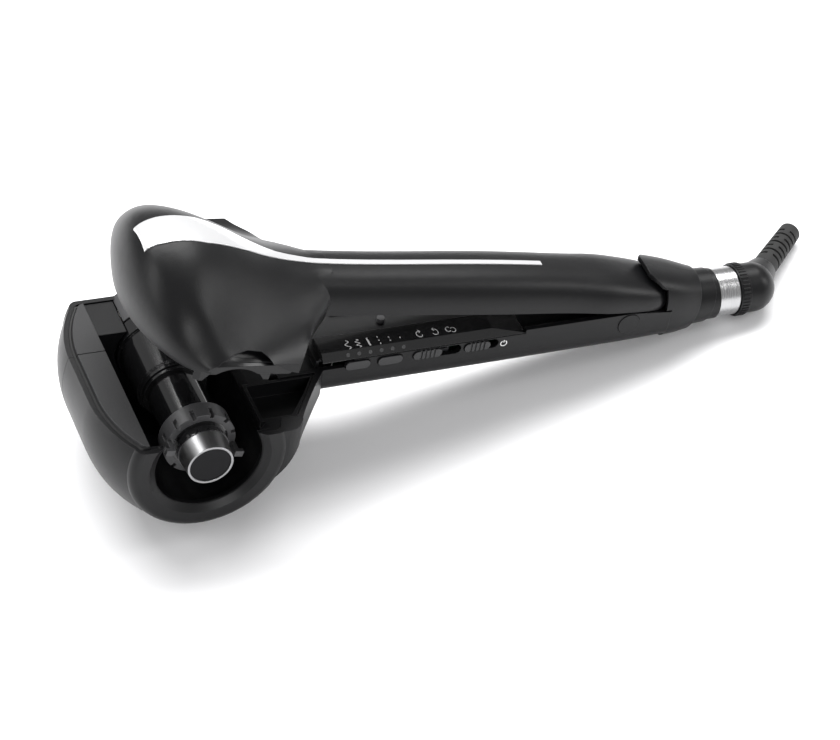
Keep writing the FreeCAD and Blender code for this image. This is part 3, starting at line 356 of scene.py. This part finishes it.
def lines_mesh(name, lines):
    """A bare mesh of open lines that carries each line's width."""
    points, edges, widths = [], [], []
    for width, line in lines:
        edges += [(len(points) + i, len(points) + i + 1) for i in range(len(line) - 1)]
        points += line
        widths += [width / 1000.0] * len(line)
    mesh = bpy.data.meshes.new(name)
    mesh.from_pydata(points, edges, [])
    mesh.attributes.new("line_width", "FLOAT", "POINT").data.foreach_set("value", widths)
    return mesh


def bead_tree():
    """Lays a round bead of the stored width along every line of the mesh that it is given."""
    tree = bpy.data.node_groups.new("bead along lines", "GeometryNodeTree")
    group_socket(tree, "Geometry", "INPUT", "NodeSocketGeometry")
    group_socket(tree, "Width Factor", "INPUT", "NodeSocketFloat", 1.0)
    group_socket(tree, "Sides", "INPUT", "NodeSocketInt", 8)
    group_socket(tree, "Material", "INPUT", "NodeSocketMaterial")
    group_socket(tree, "Geometry", "OUTPUT", "NodeSocketGeometry")
    add = tree.nodes.new
    given, out = add("NodeGroupInput"), add("NodeGroupOutput")
    stored = add("GeometryNodeInputNamedAttribute")
    stored.data_type = "FLOAT"
    stored.inputs["Name"].default_value = "line_width"
    scaled = add("ShaderNodeMath")
    scaled.operation = "MULTIPLY"
    to_curve = add("GeometryNodeMeshToCurve")
    profile = add("GeometryNodeCurvePrimitiveCircle")
    profile.inputs["Radius"].default_value = 0.5
    sweep = add("GeometryNodeCurveToMesh")
    sweep.inputs["Fill Caps"].default_value = True
    realize = add("GeometryNodeRealizeInstances")
    paint = add("GeometryNodeSetMaterial")
    link(tree, given.outputs["Geometry"], to_curve.inputs["Mesh"])
    link(tree, given.outputs["Sides"], profile.inputs["Resolution"])
    link(tree, stored.outputs["Attribute"], scaled.inputs[0])
    link(tree, given.outputs["Width Factor"], scaled.inputs[1])
    link(tree, scaled.outputs[0], sweep.inputs["Scale"])
    link(tree, to_curve.outputs["Curve"], sweep.inputs["Curve"])
    link(tree, profile.outputs["Curve"], sweep.inputs["Profile Curve"])
    link(tree, sweep.outputs["Mesh"], realize.inputs["Geometry"])
    link(tree, realize.outputs["Geometry"], paint.inputs["Geometry"])
    link(tree, given.outputs["Material"], paint.inputs["Material"])
    link(tree, paint.outputs["Geometry"], out.inputs["Geometry"])
    return tree


def grow(name, base, tree, values):
    """Runs a node tree on a base mesh and keeps the result as one finished mesh."""
    carrier = new_object(name + " carrier", base)
    modifier = carrier.modifiers.new("grow", "NODES")
    modifier.node_group = tree
    for item in tree.interface.items_tree:
        if item.in_out == "INPUT" and item.name in values:
            modifier[item.identifier] = values[item.name]
    graph = bpy.context.evaluated_depsgraph_get()
    mesh = bpy.data.meshes.new_from_object(carrier.evaluated_get(graph))
    mesh.name = name
    bpy.data.objects.remove(carrier)
    return new_object(name, mesh)


print_look = finish_look("white print", (0.9, 0.9, 0.9), (0.7, 0.7, 0.7), 0.5, grain=5000.0, depth=0.1,
                         edge=0.00005)
beads = bead_tree()
mark_lines = on_fascia(WAVE_X, PEN_WIDTH, [wave(3.6, 1.9, 3)])
mark_lines += on_fascia(WAVE_X + MARK_SPACE, FINE_WIDTH, [wave(3.4, 1.7, 5)])
mark_lines += on_fascia(WAVE_X + 2 * MARK_SPACE, BAR_WIDTH, [[(0, 1.6), (0, -1.6)]])
for column, dots in ((3, (1.4, 0.0, -1.4)), (4, (0.7, -0.7)), (5, (-0.2,))):
    mark_lines += on_fascia(WAVE_X + column * MARK_SPACE, DOT_WIDTH,
                            [[(0, v + DOT_REACH), (0, v - DOT_REACH)] for v in dots])
for column, side in ((0, 1), (1, -1)):
    arrow_head = [(side * 0.1, 1.7), (side * 0.8, 1.1), (side * 0.1, 0.5)]
    mark_lines += on_fascia(TURN_X + column * TURN_SPACE, PEN_WIDTH,
                            [arc(1.2, 90 - side * 30, side * 275), arrow_head])
mark_lines += on_fascia(TURN_X + 2 * TURN_SPACE, FINE_WIDTH, [arc(1.0, 40, 280, x=-0.95, y=0.2),
                                                              arc(1.0, 220, 280, x=0.95, y=-0.2)])
mark_lines += on_wall(POWER_X, POWER_Z, PEN_WIDTH, [arc(1.3, 120, 300), [(0, 1.7), (0, 0.4)]])
setting_marks = grow("setting_marks", lines_mesh("mark lines", mark_lines), beads, {"Material": print_look})
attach(setting_marks, "lower_half")

# ---- Hinge caps and rear collar ------------------------------------------------------------
# Round caps close the hinge pin's ends; the two collar halves clamp the cord swivel.
dress(casing_look, "hinge_cap_near", "hinge_cap_far", "rear_collar_near", "rear_collar_far")

# ---- Steel ring and cord swivel ------------------------------------------------------------
# A brushed steel ring, then the black swivel ring and elbow, and the flexible strain relief.
# Fine ribs run along the swivel ring all round it, each a thin round bar.
HANDLE_TILT = -0.148    # the handle's slope as it lies, in radians


def turned_lines():
    """Fine lines left by turning, which run round the handle's long axis."""
    tree = bpy.data.node_groups.new("turned lines", "ShaderNodeTree")
    group_socket(tree, "Fineness", "INPUT", "NodeSocketFloat", 9000.0)
    group_socket(tree, "Depth", "INPUT", "NodeSocketFloat", 0.3)
    group_socket(tree, "Roughness", "INPUT", "NodeSocketFloat", 0.25)
    group_socket(tree, "Roughness", "OUTPUT", "NodeSocketFloat")
    group_socket(tree, "Normal", "OUTPUT", "NodeSocketVector")
    add = tree.nodes.new
    given, out = add("NodeGroupInput"), add("NodeGroupOutput")
    place, turn_back, stretch = add("ShaderNodeTexCoord"), add("ShaderNodeMapping"), add("ShaderNodeMapping")
    turn_back.inputs["Rotation"].default_value = (0.0, HANDLE_TILT, 0.0)
    stretch.inputs["Scale"].default_value = (1.0, 0.006, 0.006)
    lines, bump = add("ShaderNodeTexNoise"), add("ShaderNodeBump")
    lines.inputs["Detail"].default_value = 3.0
    bump.inputs["Distance"].default_value = 0.0001
    level = add("ShaderNodeMath")
    level.operation = "MULTIPLY_ADD"
    level.inputs[1].default_value = 0.22
    link(tree, place.outputs["Object"], turn_back.inputs["Vector"])
    link(tree, turn_back.outputs["Vector"], stretch.inputs["Vector"])
    link(tree, stretch.outputs["Vector"], lines.inputs["Vector"])
    link(tree, given.outputs["Fineness"], lines.inputs["Scale"])
    link(tree, lines.outputs["Fac"], bump.inputs["Height"])
    link(tree, given.outputs["Depth"], bump.inputs["Strength"])
    link(tree, lines.outputs["Fac"], level.inputs[0])
    link(tree, given.outputs["Roughness"], level.inputs[2])
    link(tree, level.outputs[0], out.inputs["Roughness"])
    link(tree, bump.outputs["Normal"], out.inputs["Normal"])
    return tree


ring_look = bpy.data.materials.new("brushed steel ring")
ring_look.use_nodes = True
ring_shader = ring_look.node_tree.nodes["Principled BSDF"]
ring_shader.inputs["Metallic"].default_value = 1.0
ring_lines = ring_look.node_tree.nodes.new("ShaderNodeGroup")
ring_lines.node_tree = turned_lines()
ring_lines.inputs["Roughness"].default_value = 0.14
ring_tint = ring_look.node_tree.nodes.new("ShaderNodeTexNoise")
ring_tint.inputs["Scale"].default_value = 220.0
ring_shade = ring_look.node_tree.nodes.new("ShaderNodeMix")
ring_shade.data_type = "RGBA"
ring_shade.inputs["A"].default_value = (0.4, 0.4, 0.41, 1)
ring_shade.inputs["B"].default_value = (0.54, 0.54, 0.54, 1)
ring_place = ring_look.node_tree.nodes.new("ShaderNodeTexCoord")
link(ring_look.node_tree, ring_place.outputs["Object"], ring_tint.inputs["Vector"])
link(ring_look.node_tree, ring_tint.outputs["Fac"], ring_shade.inputs["Factor"])
link(ring_look.node_tree, ring_shade.outputs["Result"], ring_shader.inputs["Base Color"])
link(ring_look.node_tree, ring_lines.outputs["Roughness"], ring_shader.inputs["Roughness"])
link(ring_look.node_tree, ring_lines.outputs["Normal"], ring_shader.inputs["Normal"])
dress(ring_look, "steel_ring")
dress(casing_look, "swivel_core", "swivel_ring", "cord_elbow")
dress(seal_look, "strain_relief")
SWIVEL_AXIS_Z, RIB_COUNT, RIB_RADIUS = -3.6, 44, 10.62
RIB_X0, RIB_X1, RIB_WIDTH = 54.6, 57.7, 0.7
rib_lines = []
for index in range(RIB_COUNT):
    angle = 2 * math.pi * index / RIB_COUNT
    y, z = RIB_RADIUS * math.cos(angle), SWIVEL_AXIS_Z + RIB_RADIUS * math.sin(angle)
    rib_lines.append((RIB_WIDTH, [spot(RIB_X0, y, z), spot(RIB_X1, y, z)]))
swivel_ribs = grow("swivel_ribs", lines_mesh("rib lines", rib_lines), beads, {"Material": casing_look})
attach(swivel_ribs, "cord_swivel")
